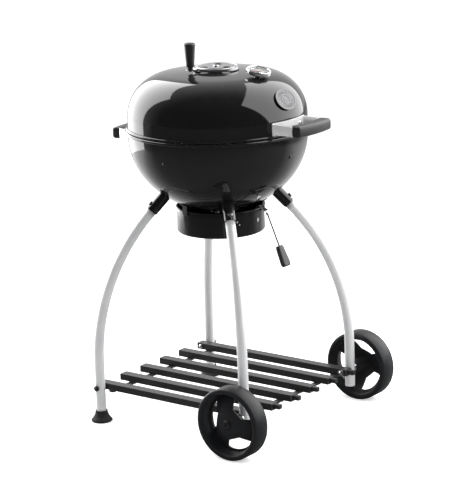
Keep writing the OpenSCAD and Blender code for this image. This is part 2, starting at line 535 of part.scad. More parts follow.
// the axle's head sits in a recess round the hub, and the hub cap closes it
head_d = 15;
recess_r = 10;
hub_flat = dome_z - 0.6;
recess_z = wheel_w - 19;
function dome_at(x, r) = dome_z - dome_r + sqrt(r * r - x * x);
module axle(s) { x0 = slat_x - slat_w / 2 - 7; x1 = wheel_x + wheel_w - 13.5;
  translate([0, -leg_xy, wheel_r]) rotate([0, 90, 0]) {
    translate([0, 0, s > 0 ? x0 : -x1]) cylinder(d = axle_d, h = x1 - x0, $fn = 36);
    translate([0, 0, s > 0 ? x1 - 5 : -x1]) cylinder(d = head_d, h = 5, $fn = 36); } }
module axle_left() { color(chromed) place() axle(-1); }
module axle_right() { color(chromed) place() axle(1); }
module axle_nuts() { color(chromed) place() for (s = [-1, 1]) translate([0, -leg_xy, wheel_r])
  rotate([0, 90, 0]) translate([0, 0, s > 0 ? slat_x - slat_w / 2 - 6 : -slat_x + slat_w / 2 + 0.5])
    difference() { cylinder(d = 19, h = 5.5, $fn = 36);
      translate([0, 0, -1]) cylinder(d = axle_d + 0.1, h = 8, $fn = 36); } }
module axle_washers() { color(chromed) place() for (s = [-1, 1]) translate([0, -leg_xy, wheel_r])
  rotate([0, 90, 0]) translate([0, 0, s > 0 ? leg_xy + leg_d / 2 + 0.4 : -leg_xy - leg_d / 2 - 13])
    difference() { cylinder(d = 24, h = 12.6, $fn = 36);
      translate([0, 0, -1]) cylinder(d = axle_d + 0.1, h = 15, $fn = 36); } }
// wheel drawn on its side: z = 0 is the inner face, z = wheel_w the outer face
module wheel_shape() { foot = wheel_r - 22; a0 = acos(foot / dome_r); a1 = acos(13 / dome_r);
  b1 = acos(20 / (dome_r - web)); b0 = acos((foot - 3) / (dome_r - web));
  difference() {
    rotate_extrude($fn = 120) polygon(concat([[wheel_r - 14, 0], [wheel_r - 3, 0], [wheel_r, 4],
      [wheel_r, wheel_w - 4], [wheel_r - 3, wheel_w], [wheel_r - 13, wheel_w], [wheel_r - 16, wheel_w - 3],
      [wheel_r - 21, dome_at(foot, dome_r) + 1]], arc(0, dome_z - dome_r, dome_r, a0, a1, 10),
      [[13, hub_flat], [recess_r, hub_flat], [recess_r, recess_z], [axle_d / 2 + run, recess_z],
        [axle_d / 2 + run, 0.6], [20, 0.6]],
      arc(0, dome_z - dome_r, dome_r - web, b1, b0, 10), [[wheel_r - 18, 4]]));
    for (i = [0:2]) rotate([0, 0, 120 * i - 40]) wheel_window();
  } }
// one opening in the web: between the hub and the rim, with straight sides
module wheel_window() { translate([0, 0, -1]) linear_extrude(wheel_w + 2) intersection() {
  circle(r = wheel_r - 26, $fn = 96);
  polygon([[44, -20], [66, -46], [wheel_r, -50], [wheel_r, 50], [66, 46], [44, 20]]);
} }
module wheel_left() { color(plastic) place() translate([-wheel_x, -leg_xy, wheel_r])
  rotate([0, -90, 0]) wheel_shape(); }
module wheel_right() { color(plastic) place() translate([wheel_x, -leg_xy, wheel_r])
  rotate([0, 90, 0]) wheel_shape(); }
module hub_cap_shape() { difference() {
  union() { translate([0, 0, hub_flat + 0.02]) cylinder(d = 24, h = 3, $fn = 60);
    translate([0, 0, hub_flat + 3.02]) cylinder(d1 = 24, d2 = 19, h = 2.4, $fn = 60);
    translate([0, 0, hub_flat - 4]) cylinder(r = recess_r - 0.05, h = 4.5, $fn = 60); }
  translate([0, 0, hub_flat - 6]) cylinder(r = head_d / 2 + 0.9, h = 8, $fn = 48);
  translate([0, 0, hub_flat + 3.4]) cylinder(r = 5, h = 4, $fn = 36); } }
module hub_cap_left() { color(plastic) place() translate([-wheel_x, -leg_xy, wheel_r])
  rotate([0, -90, 0]) hub_cap_shape(); }
module hub_cap_right() { color(plastic) place() translate([wheel_x, -leg_xy, wheel_r])
  rotate([0, 90, 0]) hub_cap_shape(); }

// ---- what is drawn ----
lid();
lid_tabs();
lid_strap();
lid_strap_screws();
lid_grip();
badge();
badge_studs();
vent_disc();
vent_grip();
vent_pin();
thermo_case();
thermo_dial();
thermo_needle();
thermo_glass();
thermo_stem();
thermo_nut();
bowl();
bowl_rivets();
rear_strap();
rear_strap_screws();
rear_grip();
grate_brackets();
cooking_grate();
charcoal_grate();
sweeper();
sweeper_shaft();
sweeper_nut();
lever_arm();
lever_rod();
lever_grip();
ash_pot();
pot_clips();
leg_sockets();
socket_bolts();
leg_front_left();
leg_front_right();
leg_rear_left();
leg_rear_right();
foot_left();
foot_right();
slat_1();
slat_2();
slat_3();
slat_4();
slat_5();
slat_6();
slat_plugs();
crossbar_front();
crossbar_rear();
shelf_screws();
shelf_bolts();
bolt_caps();
axle_left();
axle_right();
axle_nuts();
axle_washers();
wheel_left();
wheel_right();
hub_cap_left();
hub_cap_right();
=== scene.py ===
# %% [markdown]
# A kettle charcoal grill: a glossy enamelled bowl and lid on four curved tube legs, with a slatted
# shelf, two wheels and two rubber feet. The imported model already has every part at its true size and
# place, so this lesson starts from it, sets up the studio, mixes the finishes, and then remakes the
# few parts whose soft, rounded shapes deserve more than a plain solid.
# %% Load the frame
import json
import math
import bmesh
import bpy
from mathutils import Matrix, Vector


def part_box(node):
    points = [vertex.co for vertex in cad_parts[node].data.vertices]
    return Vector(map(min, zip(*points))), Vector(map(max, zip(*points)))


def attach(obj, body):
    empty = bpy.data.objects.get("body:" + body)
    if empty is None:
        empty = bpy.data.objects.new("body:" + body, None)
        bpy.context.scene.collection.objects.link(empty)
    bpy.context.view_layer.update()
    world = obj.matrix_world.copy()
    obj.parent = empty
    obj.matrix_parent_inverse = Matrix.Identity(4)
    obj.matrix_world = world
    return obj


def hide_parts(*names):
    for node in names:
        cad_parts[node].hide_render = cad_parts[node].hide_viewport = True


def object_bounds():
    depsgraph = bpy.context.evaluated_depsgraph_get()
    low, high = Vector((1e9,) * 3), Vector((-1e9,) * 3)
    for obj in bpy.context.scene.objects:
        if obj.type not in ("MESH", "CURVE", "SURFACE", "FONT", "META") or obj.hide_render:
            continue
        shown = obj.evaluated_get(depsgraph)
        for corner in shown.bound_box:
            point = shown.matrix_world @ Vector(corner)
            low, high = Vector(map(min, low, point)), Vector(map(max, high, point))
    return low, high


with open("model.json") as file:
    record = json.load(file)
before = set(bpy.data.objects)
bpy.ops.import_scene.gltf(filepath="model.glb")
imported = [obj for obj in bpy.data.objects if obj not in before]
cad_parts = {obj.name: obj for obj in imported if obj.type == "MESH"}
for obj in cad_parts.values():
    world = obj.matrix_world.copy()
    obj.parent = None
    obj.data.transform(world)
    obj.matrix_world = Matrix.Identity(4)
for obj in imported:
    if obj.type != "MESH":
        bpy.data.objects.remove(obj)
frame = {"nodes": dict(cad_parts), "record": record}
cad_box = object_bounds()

MM = 0.001
low, high = cad_box
print("grill", [round(c, 3) for c in high - low], "m, from", [round(c, 3) for c in low])

# %% [markdown]
# The kettle is round, so most places are worked out from its upright axis. The bowl's box gives it:
# the axis runs through the middle of the bowl, a little in front of the middle of the whole footprint.
# %% The kettle's axis and a few heights
bowl_low, bowl_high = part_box("bowl")
lid_low, lid_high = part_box("lid")
axis_y = (bowl_low.y + bowl_high.y) / 2
seam_z = (bowl_high.z + lid_low.z) / 2
kettle_mid = Vector((0, axis_y, seam_z))
print("axis at y", round(axis_y, 4), "seam at z", round(seam_z, 4))

# %% [markdown]
# The camera looks from the left front and slightly down. Its distance matters as much as its
# direction: a long lens from over six metres keeps the wheels and the lid in the same proportion as
# a catalogue picture does.
# %% Camera
stand_heading = math.radians(-52.28)  # where the camera stands, seen from the kettle's axis
stand_far, stand_high = 6.358, 2.120
look_heading, look_down, look_roll = (math.radians(a) for a in (-53.62, 14.27, -1.56))
camera_data = bpy.data.cameras.new("studio camera")
camera_data.sensor_width = 36
camera_data.lens = 157.54
camera_data.shift_x = -0.0863
camera_data.clip_end = 60
camera = bpy.data.objects.new("studio camera", camera_data)
bpy.context.scene.collection.objects.link(camera)
place = Vector((math.sin(stand_heading) * stand_far, axis_y - math.cos(stand_heading) * stand_far,
                stand_high))
turn = (Matrix.Rotation(look_heading, 4, "Z") @ Matrix.Rotation(math.pi / 2 - look_down, 4, "X")
        @ Matrix.Rotation(look_roll, 4, "Z"))
camera.matrix_world = Matrix.Translation(place) @ turn
bpy.context.scene.camera = camera
print("camera at", [round(c, 3) for c in place], "lens", camera_data.lens, "mm")

# %% [markdown]
# Black enamel is a mirror: what a viewer sees on it is the studio. So the lights are chosen by what
# they draw on the lid: a tall bright softbox behind on one side gives the white arch, a dimmer one
# in front on the other side gives the grey field behind the badge, and the side where the camera
# stands stays dark, which keeps the middle of the lid deep black.
# %% Studio lights
def softbox(name, heading, rise, far, wide, tall, glow):
    """A one-sided panel aimed at the kettle from a heading and a rise above the horizon, in degrees.
    Its power grows with its area, so glow is how bright it looks in a mirror."""
    data = bpy.data.lights.new(name, "AREA")
    data.shape = "RECTANGLE"
    data.size, data.size_y = wide, tall
    data.energy = math.pi * glow * wide * tall
    panel = bpy.data.objects.new(name, data)
    bpy.context.scene.collection.objects.link(panel)
    a, e = math.radians(heading), math.radians(rise)
    way = Vector((math.sin(a) * math.cos(e), -math.cos(a) * math.cos(e), math.sin(e)))
    facing = (-way).to_track_quat("-Z", "Y").to_matrix().to_4x4()
    panel.matrix_world = Matrix.Translation(kettle_mid + way * far) @ facing
    panel.visible_camera = False
    return panel


softbox("bright softbox", 176, 17, 2.4, 2.6, 3.9, 4.8)
softbox("grey softbox", 50, 31, 2.6, 4.6, 3.9, 3.3)

# %% [markdown]
# The world is a pale room. What the camera sees of it is plain white. What shines back from the grill
# is bright only behind the grill and dark where the camera stands, which a smooth step along that
# direction does. What lights the matt parts is even all round. A light path node tells the three uses
# apart, so the picture keeps its clean backdrop.
# %% World
world = bpy.data.worlds.new("pale room")
bpy.context.scene.world = world
world.use_nodes = True
wn, wl = world.node_tree.nodes, world.node_tree.links
wn.clear()
out = wn.new("ShaderNodeOutputWorld")
seen, felt = wn.new("ShaderNodeBackground"), wn.new("ShaderNodeBackground")
pick, path = wn.new("ShaderNodeMixShader"), wn.new("ShaderNodeLightPath")
where, along = wn.new("ShaderNodeTexCoord"), wn.new("ShaderNodeVectorMath")
step = wn.new("ShaderNodeMapRange")
seen.inputs["Color"].default_value = (1, 1, 1, 1)
seen.inputs["Strength"].default_value = 1.0
felt.inputs["Color"].default_value = (1, 1, 1, 1)
along.operation = "DOT_PRODUCT"
behind = -Vector((place.x, place.y - axis_y, 0)).normalized()
along.inputs[1].default_value = behind
step.interpolation_type = "SMOOTHSTEP"
step.inputs["From Min"].default_value = -0.25
step.inputs["From Max"].default_value = 0.75
step.inputs["To Min"].default_value = 0.03
step.inputs["To Max"].default_value = 0.85
even = wn.new("ShaderNodeMix")
even.inputs["A"].default_value = 0.75
wl.new(where.outputs["Generated"], along.inputs[0])
wl.new(along.outputs["Value"], step.inputs["Value"])
wl.new(path.outputs["Is Glossy Ray"], even.inputs["Factor"])
wl.new(step.outputs["Result"], even.inputs["B"])
wl.new(even.outputs["Result"], felt.inputs["Strength"])
wl.new(path.outputs["Is Camera Ray"], pick.inputs["Fac"])
wl.new(felt.outputs["Background"], pick.inputs[1])
wl.new(seen.outputs["Background"], pick.inputs[2])
wl.new(pick.outputs["Shader"], out.inputs["Surface"])
bpy.context.scene.view_settings.view_transform = "Standard"
bpy.context.scene.view_settings.look = "None"
print("world brighter towards", [round(c, 2) for c in behind])

# %% [markdown]
# Every finish below starts from one Principled shader. A small helper makes the material and keeps
# its nodes at hand; another joins two sockets. Numbers that hold for the whole surface go straight on
# the shader, and only what varies over the surface is wired.
# %% Material helpers
FINISHES = {}


class Finish:
    """A material with its principled shader and short ways to add and join nodes."""

    def __init__(self, name, color, roughness, metallic=0.0, ior=1.5):
        self.material = bpy.data.materials.new(name)
        self.material.use_nodes = True
        self.nodes, self.links = self.material.node_tree.nodes, self.material.node_tree.links
        self.shader = self.nodes["Principled BSDF"]
        self.set("Base Color", (*color, 1))
        self.set("Roughness", roughness)
        self.set("Metallic", metallic)
        self.set("IOR", ior)
        FINISHES[name] = self.material

    def set(self, socket, value):
        self.shader.inputs[socket].default_value = value

    def node(self, kind, **values):
        made = self.nodes.new(kind)
        for key, value in values.items():
            setattr(made, key, value)
        return made

    def group(self, tree, **values):
        made = self.nodes.new("ShaderNodeGroup")
        made.node_tree = tree
        for key, value in values.items():
            made.inputs[key.replace("_", " ")].default_value = value
        return made

    def join(self, a, b):
        self.links.new(a, b)

    def mix(self, mask, first, second):
        """A colour that goes from the first to the second as the mask goes from 0 to 1."""
        made = self.node("ShaderNodeMix", data_type="RGBA")
        made.inputs[6].default_value = (*first, 1)
        made.inputs[7].default_value = (*second, 1)
        self.join(mask, made.inputs[0])
        return made.outputs[2]

    def range(self, value, lowest, highest):
        """Stretches a 0 to 1 value to run between two numbers."""
        made = self.node("ShaderNodeMapRange")
        made.inputs["To Min"].default_value = lowest
        made.inputs["To Max"].default_value = highest
        self.join(value, made.inputs["Value"])
        return made.outputs["Result"]

    def bump(self, height, strength, distance, normal=None):
        made = self.node("ShaderNodeBump")
        made.inputs["Strength"].default_value = strength
        made.inputs["Distance"].default_value = distance
        self.join(height, made.inputs["Height"])
        if normal is not None:
            self.join(normal, made.inputs["Normal"])
        self.join(made.outputs["Normal"], self.shader.inputs["Normal"])


def effect(name, inputs, outputs):
    """A new shader node group with named sockets; returns its tree and its two end nodes."""
    tree = bpy.data.node_groups.new(name, "ShaderNodeTree")
    for socket, value in inputs.items():
        made = tree.interface.new_socket(socket, in_out="INPUT", socket_type="NodeSocketFloat")
        made.default_value = value
    for socket, kind in outputs.items():
        tree.interface.new_socket(socket, in_out="OUTPUT", socket_type=kind)
    return tree, tree.nodes.new("NodeGroupInput"), tree.nodes.new("NodeGroupOutput")


FLOAT, VECTOR = "NodeSocketFloat", "NodeSocketVector"

# %% [markdown]
# Grain is the fine unevenness of a moulded or sprayed surface: a noise over Object coordinates, so it
# stays put on the part. Cloud is the same at a larger size, and stands for handling marks and the
# slow changes of tone that keep a surface from looking computed.
# %% Effects: grain and cloud
def noise_effect(name, detail):
    tree, given, result = effect(name, {"Scale": 100.0}, {"Value": FLOAT})
    place_on = tree.nodes.new("ShaderNodeTexCoord")
    noise = tree.nodes.new("ShaderNodeTexNoise")
    noise.inputs["Detail"].default_value = detail
    tree.links.new(place_on.outputs["Object"], noise.inputs["Vector"])
    tree.links.new(given.outputs["Scale"], noise.inputs["Scale"])
    tree.links.new(noise.outputs["Fac"], result.inputs["Value"])
    return tree


grain = noise_effect("grain", 3)
cloud = noise_effect("cloud", 5)
print("effects", [g.name for g in bpy.data.node_groups])

# %% [markdown]
# Edge mask: on painted and plastic parts it is wear, as paint is thinnest on a corner and hands rub it
# first; on the bare metals the same mask lightens the corners as a painted edge highlight. The Bevel
# node looks round each point for a corner nearby; where its softened normal leans away from the true
# one, there is an edge.
# Noise breaks the line up. The softened normal is passed on too, so a sharp CAD edge catches light as
# a real one with a small radius does.
# %% Effect: edges
edges, given, result = effect("edges", {"Radius": 0.0015, "Wear": 1.0},
                              {"Mask": FLOAT, "Normal": VECTOR})
soft = edges.nodes.new("ShaderNodeBevel")
soft.samples = 6
true_normal = edges.nodes.new("ShaderNodeNewGeometry")
lean = edges.nodes.new("ShaderNodeVectorMath")
lean.operation = "DOT_PRODUCT"
shape = edges.nodes.new("ShaderNodeMapRange")
shape.inputs["From Min"].default_value = 0.995
shape.inputs["From Max"].default_value = 0.86
spots = edges.nodes.new("ShaderNodeTexNoise")
spots.inputs["Scale"].default_value = 140
spots.inputs["Detail"].default_value = 4
on_part = edges.nodes.new("ShaderNodeTexCoord")
broken, wear_and_glint = edges.nodes.new("ShaderNodeMath"), edges.nodes.new("ShaderNodeMath")
broken.operation, wear_and_glint.operation = "MULTIPLY", "MULTIPLY"
edges.links.new(given.outputs["Radius"], soft.inputs["Radius"])
edges.links.new(soft.outputs["Normal"], lean.inputs[0])
edges.links.new(true_normal.outputs["Normal"], lean.inputs[1])
edges.links.new(lean.outputs["Value"], shape.inputs["Value"])
edges.links.new(on_part.outputs["Object"], spots.inputs["Vector"])
edges.links.new(shape.outputs["Result"], broken.inputs[0])
edges.links.new(spots.outputs["Fac"], broken.inputs[1])
edges.links.new(broken.outputs["Value"], wear_and_glint.inputs[0])
edges.links.new(given.outputs["Wear"], wear_and_glint.inputs[1])
edges.links.new(wear_and_glint.outputs["Value"], result.inputs["Mask"])
edges.links.new(soft.outputs["Normal"], result.inputs["Normal"])

# %% [markdown]
# Dust settles on what faces up. The mask is the upward part of the normal times a soft noise.
# %% Effect: dust
dust, given, result = effect("dust", {"Amount": 0.1}, {"Mask": FLOAT})
facing = dust.nodes.new("ShaderNodeNewGeometry")
split = dust.nodes.new("ShaderNodeSeparateXYZ")
upward = dust.nodes.new("ShaderNodeMapRange")
upward.inputs["From Min"].default_value = 0.4
specks = dust.nodes.new("ShaderNodeTexNoise")
specks.inputs["Scale"].default_value = 60
specks.inputs["Detail"].default_value = 6
on_part = dust.nodes.new("ShaderNodeTexCoord")
laid, some = dust.nodes.new("ShaderNodeMath"), dust.nodes.new("ShaderNodeMath")
laid.operation, some.operation = "MULTIPLY", "MULTIPLY"
dust.links.new(facing.outputs["Normal"], split.inputs["Vector"])
dust.links.new(split.outputs["Z"], upward.inputs["Value"])
dust.links.new(on_part.outputs["Object"], specks.inputs["Vector"])
dust.links.new(upward.outputs["Result"], laid.inputs[0])
dust.links.new(specks.outputs["Fac"], laid.inputs[1])
dust.links.new(laid.outputs["Value"], some.inputs[0])
dust.links.new(given.outputs["Amount"], some.inputs[1])
dust.links.new(some.outputs["Value"], result.inputs["Mask"])
print("effects", [g.name for g in bpy.data.node_groups])

# %% [markdown]
# Enamel is glass fused on steel: black, smooth and hard. It gets a very slight ripple, faint clouds
# in its gloss where it was wiped, and a trace of dust.
# %% Finish: enamel
def make_enamel(name, color, gloss, ripple, ior=1.52):
    f = Finish(name, color, gloss, ior=ior)
    wiped = f.group(cloud, Scale=9.0)
    f.join(f.range(wiped.outputs["Value"], gloss * 0.6, gloss * 1.5), f.shader.inputs["Roughness"])
    lint = f.group(dust, Amount=0.05)
    f.join(f.mix(lint.outputs["Mask"], color, (0.30, 0.30, 0.29)), f.shader.inputs["Base Color"])
    peel = f.group(grain, Scale=70.0)
    f.bump(peel.outputs["Value"], ripple, 0.0004)
    return f.material


enamel = make_enamel("black enamel", (0.006, 0.006, 0.0065), 0.055, 0.05)
pot_enamel = make_enamel("ash pot enamel", (0.006, 0.006, 0.006), 0.16, 0.10, 1.38)

# %% [markdown]
# Chrome and brushed steel are bare metal. Chrome has soft smears. Brushed steel has a fine
# turned grain: thin rings round its own axis, made by feeding the distance from that axis to a noise.
# On both, the edge mask lightens the colour on the corners: a painted edge highlight.
# %% Finish: chrome, brushed steel
def make_chrome(name, color, roughness, metallic=1.0):
    f = Finish(name, color, roughness, metallic=metallic)
    smear = f.group(cloud, Scale=45.0)
    f.join(f.range(smear.outputs["Value"], roughness * 0.5, roughness * 1.7),
           f.shader.inputs["Roughness"])
    # Painted highlight: the corners are lightened towards near white.
    corner = f.group(edges, Radius=0.0006, Wear=0.5)
    f.join(f.mix(corner.outputs["Mask"], color, (0.95, 0.95, 0.95)), f.shader.inputs["Base Color"])
    f.join(corner.outputs["Normal"], f.shader.inputs["Normal"])
    return f.material


def make_turned_steel(name, centre, tilt, color):
    f = Finish(name, color, 0.3, metallic=1.0)
    at, shift = f.node("ShaderNodeTexCoord"), f.node("ShaderNodeMapping", vector_type="TEXTURE")
    shift.inputs["Location"].default_value = centre
    shift.inputs["Rotation"].default_value = (tilt, 0, 0)
    flat = f.node("ShaderNodeVectorMath", operation="MULTIPLY")
    flat.inputs[1].default_value = (1, 1, 0)
    away = f.node("ShaderNodeVectorMath", operation="LENGTH")
    rings = f.node("ShaderNodeTexNoise", noise_dimensions="1D")
    rings.inputs["Scale"].default_value = 1800
    rings.inputs["Detail"].default_value = 2
    f.join(at.outputs["Object"], shift.inputs["Vector"])
    f.join(shift.outputs["Vector"], flat.inputs[0])
    f.join(flat.outputs["Vector"], away.inputs[0])
    f.join(away.outputs["Value"], rings.inputs["W"])
    f.join(f.range(rings.outputs["Fac"], 0.2, 0.42), f.shader.inputs["Roughness"])
    # Painted highlight: the corners are lightened towards pale grey.
    corner = f.group(edges, Radius=0.0006, Wear=0.5)
    f.join(f.mix(corner.outputs["Mask"], color, (0.9, 0.9, 0.9)), f.shader.inputs["Base Color"])
    f.bump(rings.outputs["Fac"], 0.12, 0.0002, corner.outputs["Normal"])
    return f.material


chrome = make_chrome("polished chrome", (0.80, 0.81, 0.82), 0.10)
strap_chrome = make_chrome("satin strap chrome", (0.84, 0.84, 0.85), 0.34, 0.55)
zinc = make_chrome("zinc plated steel", (0.66, 0.67, 0.68), 0.24)
disc_low, disc_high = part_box("vent_disc")
vent_steel = make_turned_steel("turned vent steel", (0, axis_y, disc_high.z), 0, (0.36, 0.36, 0.37))
badge_low, badge_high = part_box("badge")
badge_mid = (badge_low + badge_high) / 2
badge_lean = math.atan2(badge_high.z - badge_low.z, badge_high.y - badge_low.y)
badge_steel = make_turned_steel("turned badge steel", badge_mid, badge_lean, (0.12, 0.12, 0.123))
print("badge leans back", round(math.degrees(badge_lean), 1), "degrees from flat")

# %% [markdown]
# The legs are satin aluminium tube, drawn and then lightly blasted: pale, soft and a little cloudy.
# %% Finish: leg aluminium
f = Finish("satin aluminium", (0.80, 0.80, 0.81), 0.4, metallic=0.3)
blast = f.group(grain, Scale=900.0)
tone = f.group(cloud, Scale=14.0)
f.join(f.range(tone.outputs["Value"], 0.32, 0.52), f.shader.inputs["Roughness"])
f.join(f.mix(tone.outputs["Value"], (0.59, 0.595, 0.605), (0.69, 0.69, 0.695)),
       f.shader.inputs["Base Color"])
f.bump(blast.outputs["Value"], 0.06, 0.0002)
leg_aluminium = f.material

# %% [markdown]
# Moulded plastic, wheel plastic, rubber and powder-coated steel are all near black. They are told
# apart by grain size, by how broad the highlight is and by how far the edges have gone pale.
# %% Finish: black plastics, rubber and coated steel
def make_black(name, color, roughness, grain_scale, grain_depth, radius, wear, pale, dusty=0.08,
               ior=1.5):
    f = Finish(name, color, roughness, ior=ior)
    tone = f.group(cloud, Scale=22.0)
    f.join(f.range(tone.outputs["Value"], roughness * 0.8, roughness * 1.2),
           f.shader.inputs["Roughness"])
    corner = f.group(edges, Radius=radius, Wear=wear)
    rubbed = f.mix(corner.outputs["Mask"], color, pale)
    lint = f.group(dust, Amount=dusty)
    layer = f.node("ShaderNodeMix", data_type="RGBA")
    layer.inputs[7].default_value = (0.42, 0.41, 0.40, 1)
    f.join(lint.outputs["Mask"], layer.inputs[0])
    f.join(rubbed, layer.inputs[6])
    f.join(layer.outputs[2], f.shader.inputs["Base Color"])
    fine = f.group(grain, Scale=grain_scale)
    f.bump(fine.outputs["Value"], grain_depth, 0.0003, corner.outputs["Normal"])
    return f.material


grip_plastic = make_black("grip plastic", (0.014, 0.014, 0.015), 0.40, 1400, 0.25, 0.0012, 0.4,
                          (0.06, 0.06, 0.06), 0.02)
wheel_plastic = make_black("wheel plastic", (0.010, 0.0105, 0.012), 0.42, 900, 0.22, 0.0015, 0.6,
                           (0.07, 0.07, 0.072), 0.02, 1.33)
coated_steel = make_black("coated steel", (0.012, 0.012, 0.0115), 0.34, 700, 0.20, 0.0012, 1.0,
                          (0.22, 0.22, 0.21), 0.10)
foot_rubber = make_black("foot rubber", (0.013, 0.013, 0.013), 0.75, 600, 0.35, 0.0015, 0.6,
                         (0.05, 0.05, 0.05))
grate_steel = make_black("grate steel", (0.06, 0.058, 0.055), 0.5, 500, 0.3, 0.0008, 0.6,
                         (0.2, 0.2, 0.19))

# %% [markdown]
# The thermometer has a white printed dial, a red needle and a clear pressed glass.
# %% Finish: dial, print, needle, glass
def make_paint(name, color, roughness):
    f = Finish(name, color, roughness)
    tone = f.group(cloud, Scale=90.0)
    darker = tuple(c * 0.9 for c in color)
    f.join(f.mix(tone.outputs["Value"], darker, color), f.shader.inputs["Base Color"])
    f.join(f.range(tone.outputs["Value"], roughness * 0.85, roughness * 1.15),
           f.shader.inputs["Roughness"])
    return f.material


dial_white = make_paint("dial white", (0.80, 0.80, 0.78), 0.5)
print_black = make_paint("printed black", (0.02, 0.02, 0.02), 0.5)
print_pale = make_paint("printed pale grey", (0.34, 0.34, 0.33), 0.45)
needle_red = make_paint("needle red", (0.45, 0.02, 0.012), 0.35)
f = Finish("thermometer glass", (0.97, 0.98, 0.98), 0.02, ior=1.5)
f.set("Transmission Weight", 1.0)
film = f.group(cloud, Scale=60.0)
f.join(f.range(film.outputs["Value"], 0.01, 0.05), f.shader.inputs["Roughness"])
clear_glass = f.material
print("finishes", len(FINISHES))

# %% [markdown]
# Each CAD part gets its finish by name. The parts keep their shape; only the material slot changes.
# %% Finishes on the CAD parts
WEARS = {
    enamel: ["lid", "bowl", "leg_sockets"],
    pot_enamel: ["ash_pot"],
    strap_chrome: ["lid_strap", "rear_strap"],
    chrome: ["lid_strap_screws", "rear_strap_screws", "vent_pin", "thermo_case", "thermo_stem",
             "thermo_nut", "lever_arm", "lever_rod"],
    zinc: ["lid_tabs", "badge_studs", "cooking_grate", "sweeper_nut", "socket_bolts", "shelf_screws",
           "shelf_bolts", "axle_left", "axle_right", "axle_nuts", "axle_washers"],
    vent_steel: ["vent_disc"],
    badge_steel: ["badge"],
    leg_aluminium: ["leg_front_left", "leg_front_right", "leg_rear_left", "leg_rear_right"],
    grip_plastic: ["lid_grip", "rear_grip", "vent_grip", "lever_grip", "slat_plugs", "bolt_caps"],
    wheel_plastic: ["wheel_left", "wheel_right", "hub_cap_left", "hub_cap_right"],
    foot_rubber: ["foot_left", "foot_right"],
    coated_steel: ["bowl_rivets", "pot_clips", "crossbar_front", "crossbar_rear"]
    + [f"slat_{i}" for i in range(1, 7)],
    grate_steel: ["charcoal_grate", "grate_brackets", "sweeper", "sweeper_shaft"],
    dial_white: ["thermo_dial"],
    needle_red: ["thermo_needle"],
    clear_glass: ["thermo_glass"],
}
FINISH_OF = {part: material for material, parts in WEARS.items() for part in parts}
BODY_OF = {part: body for body, parts in frame["record"]["behaviour"]["bodies"].items()
           for part in parts}
for part, material in FINISH_OF.items():
    mesh = frame["nodes"][part].data
    mesh.materials.clear()
    mesh.materials.append(material)
print("parts with a finish", len(FINISH_OF), "of", len(frame["nodes"]))

# %% [markdown]
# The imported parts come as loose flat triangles, which show as facets on anything round and shiny. So
# each round part is copied, the copy's doubled points are merged, its faces are shaded smooth and its
# real corners are kept sharp by their angle. The copy then stands for the part.
# %% Pieces: smooth copies of the round parts
def piece(name, mesh, material, stands_for, body=None):
    """Links a finished mesh as a piece that rides on a body and stands for CAD parts."""
    made = bpy.data.objects.new(name, mesh)
    bpy.context.scene.collection.objects.link(made)
    mesh.materials.clear()
    mesh.materials.append(material)
    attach(made, body or BODY_OF[stands_for[0]])
    if stands_for:
        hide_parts(*stands_for)
    return made


def shade(mesh, corner=32):
    """Smooth shading with every edge sharper than the corner angle kept crisp."""
    mesh.shade_smooth()
    mesh.set_sharp_from_angle(angle=math.radians(corner))


ROUND = [part for part in FINISH_OF if not part.startswith(("slat", "crossbar", "pot_clips"))
         and part not in ("lid", "bowl", "ash_pot", "lid_grip", "rear_grip", "vent_grip", "lever_grip",
                          "badge", "thermo_case", "socket_bolts", "lid_tabs", "grate_brackets")]
for part in ROUND:
    bm = bmesh.new()
    bm.from_mesh(frame["nodes"][part].data)
    bmesh.ops.remove_doubles(bm, verts=bm.verts, dist=0.004 * MM)
    mesh = bpy.data.meshes.new("smooth_" + part)
    bm.to_mesh(mesh)
    bm.free()
    shade(mesh)
    piece("smooth_" + part, mesh, FINISH_OF[part], [part])
print("smooth copies", len(ROUND))

# %% [markdown]
# Anything turned is an outline swept once round an axis. The outline is a short list of points in
# millimetres, distance from the axis and height, with round stretches as arcs. Its corners are
# rounded afterwards with a bevel on every sharp ring, so one number sets how soft the piece looks.
# %% Tools for turned pieces
def arc(across, up, radius, start, end, steps):
    """Points along an arc, angles in degrees from the outward direction."""
    turns = [math.radians(start + (end - start) * i / steps) for i in range(steps + 1)]
    return [(across + radius * math.cos(t), up + radius * math.sin(t)) for t in turns]


def turned(outline, steps=128, closed=False):
    """Sweeps an outline in millimetres round Z and returns the bmesh, in metres."""
    bm = bmesh.new()
    dots = [bm.verts.new((r * MM, 0, z * MM)) for r, z in outline]
    ends = zip(dots, dots[1:] + dots[:1]) if closed else zip(dots, dots[1:])
    rims = [bm.edges.new(pair) for pair in ends]
    bmesh.ops.spin(bm, geom=dots + rims, cent=(0, 0, 0), axis=(0, 0, 1), angle=math.tau, steps=steps,
                   use_merge=True)
    bmesh.ops.remove_doubles(bm, verts=bm.verts, dist=0.001 * MM)
    bmesh.ops.recalc_face_normals(bm, faces=bm.faces)
    return bm


def soften(bm, width, corner=35, segments=3):
    """Rounds every edge sharper than the corner angle by a width in millimetres."""
    sharp = [e for e in bm.edges if len(e.link_faces) == 2
             and e.calc_face_angle(0) > math.radians(corner)]
    bmesh.ops.bevel(bm, geom=sharp, offset=width * MM, offset_type="OFFSET", segments=segments,
                    profile=0.5, affect="EDGES", clamp_overlap=True, material=-1)


def finish_mesh(bm, name, where=None, corner=32):
    """Puts a bmesh in its place on the grill and makes it a smooth-shaded mesh."""
    if where is not None:
        bmesh.ops.transform(bm, matrix=where, verts=bm.verts)
    mesh = bpy.data.meshes.new(name)
    bm.to_mesh(mesh)
    bm.free()
    shade(mesh, corner)
    return mesh


def drilled(mesh, holes):
    """Cuts plain pegs out of a mesh: each is (matrix, radius, length) in metres."""
    pegs = bmesh.new()
    for where, radius, length in holes:
        bmesh.ops.create_cone(pegs, cap_ends=True, segments=48, radius1=radius, radius2=radius,
                              depth=length, matrix=where)
    return cut(mesh, pegs)


